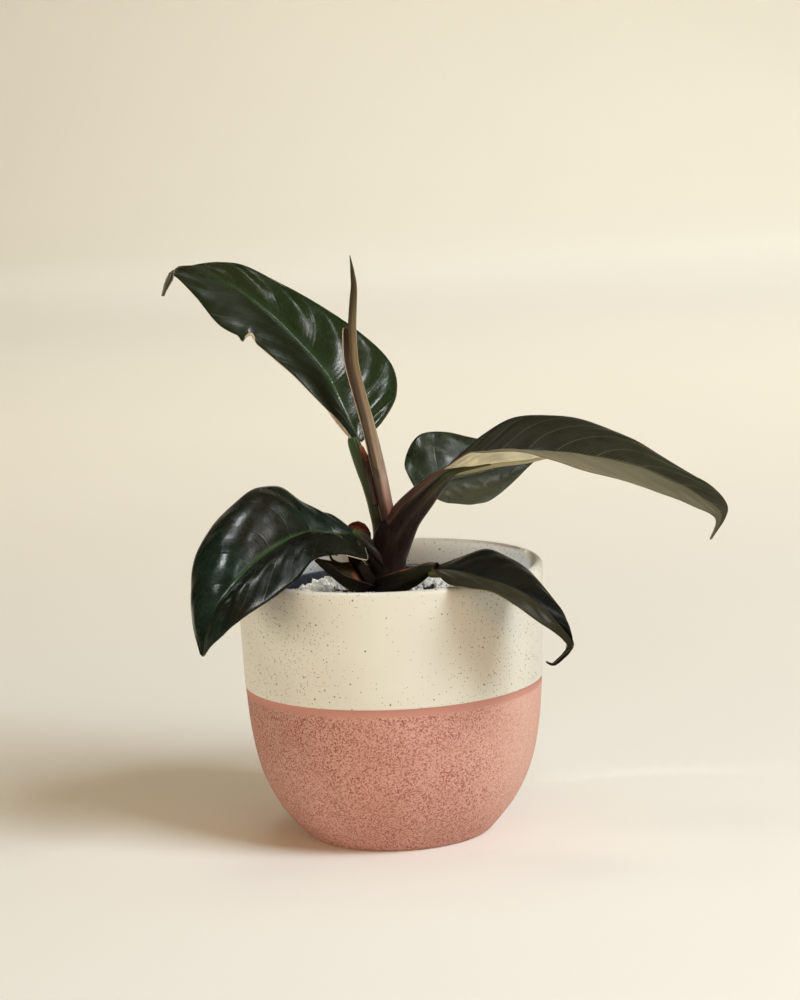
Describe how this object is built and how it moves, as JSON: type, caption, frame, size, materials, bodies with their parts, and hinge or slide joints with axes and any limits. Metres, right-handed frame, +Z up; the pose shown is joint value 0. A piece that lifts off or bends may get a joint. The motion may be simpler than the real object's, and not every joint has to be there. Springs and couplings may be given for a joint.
{
  "type": "potted imperial red philodendron",
  "caption": "Young broad-leaved houseplant with dark glossy leaves and a rolled new leaf, in a nursery pot inside a two-tone ceramic cover pot.",
  "frame": {"origin": "centre of the cover pot's flat base, on the surface that it stands on", "axes": "+Z up along the pot's axis, -Y towards the viewer of the picture, +X to the viewer's right"},
  "size_m": [0.2511, 0.1559, 0.2631],
  "materials": {
    "speckled_cream_glaze": "satin",
    "black_plastic": "satin",
    "soil": "matte",
    "perlite": "matte",
    "dark_stem": "satin",
    "maroon_stalk": "satin",
    "green_stalk": "satin",
    "dark_leaf": "gloss",
    "new_leaf_skin": "satin",
    "orange_sheath": "matte"
  },
  "bodies": {
    "root": {"cover_pot": "speckled_cream_glaze", "nursery_pot": "black_plastic", "potting_soil": "soil", "perlite_lump_1": "perlite", "perlite_lump_2": "perlite", "perlite_lump_3": "perlite", "perlite_lump_4": "perlite", "perlite_lump_5": "perlite", "perlite_lump_6": "perlite", "perlite_lump_7": "perlite", "perlite_lump_8": "perlite", "perlite_lump_9": "perlite", "perlite_lump_10": "perlite", "main_stem": "dark_stem", "long_right_stalk": "maroon_stalk", "new_leaf_stalk": "maroon_stalk", "tall_left_stalk": "green_stalk", "front_left_stalk": "green_stalk", "front_right_stalk": "maroon_stalk", "back_stalk": "green_stalk", "new_leaf_roll": "new_leaf_skin", "tall_left_blade": "dark_leaf", "long_right_blade": "dark_leaf", "back_blade": "dark_leaf", "front_left_blade": "dark_leaf", "front_right_blade": "dark_leaf", "boat_sheath": "orange_sheath", "inner_sheath": "orange_sheath", "cupped_sheath": "orange_sheath", "new_leaf_sheath": "orange_sheath", "sheath_thread": "orange_sheath"}
  },
  "joints": []
}
